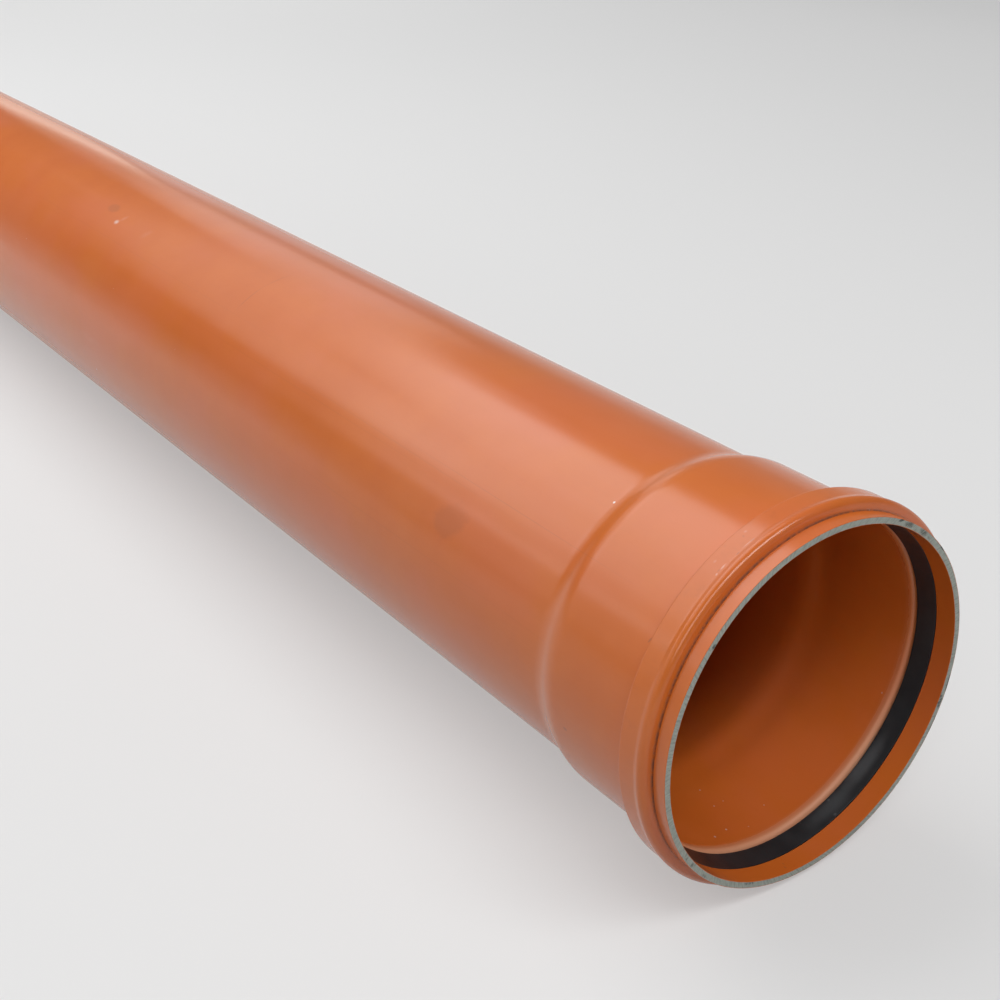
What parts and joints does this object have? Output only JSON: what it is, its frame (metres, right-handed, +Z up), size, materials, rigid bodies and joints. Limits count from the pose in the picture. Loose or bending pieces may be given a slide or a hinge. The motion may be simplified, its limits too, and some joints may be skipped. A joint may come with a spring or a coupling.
{
  "type": "sewer pipe",
  "caption": "Orange-brown plastic sewer pipe, lying level, with a push-fit socket, a bead with a rubber sealing ring at one end and a chamfered spigot at the other.",
  "frame": {"origin": "on the floor, under the middle of the pipe's length", "axes": "+X along the pipe's axis and out of the socket's mouth, +Z up, +Y to the side"},
  "size_m": [2.088, 0.2256, 0.2255],
  "materials": {
    "pipe": "satin, as extruded, orange-brown all through but for a grey layer that shows on the saw-cut mouth",
    "seal": "moulded, slight sheen"
  },
  "bodies": {
    "root": {"pipe": "pipe", "seal_ring": "seal"}
  },
  "joints": []
}
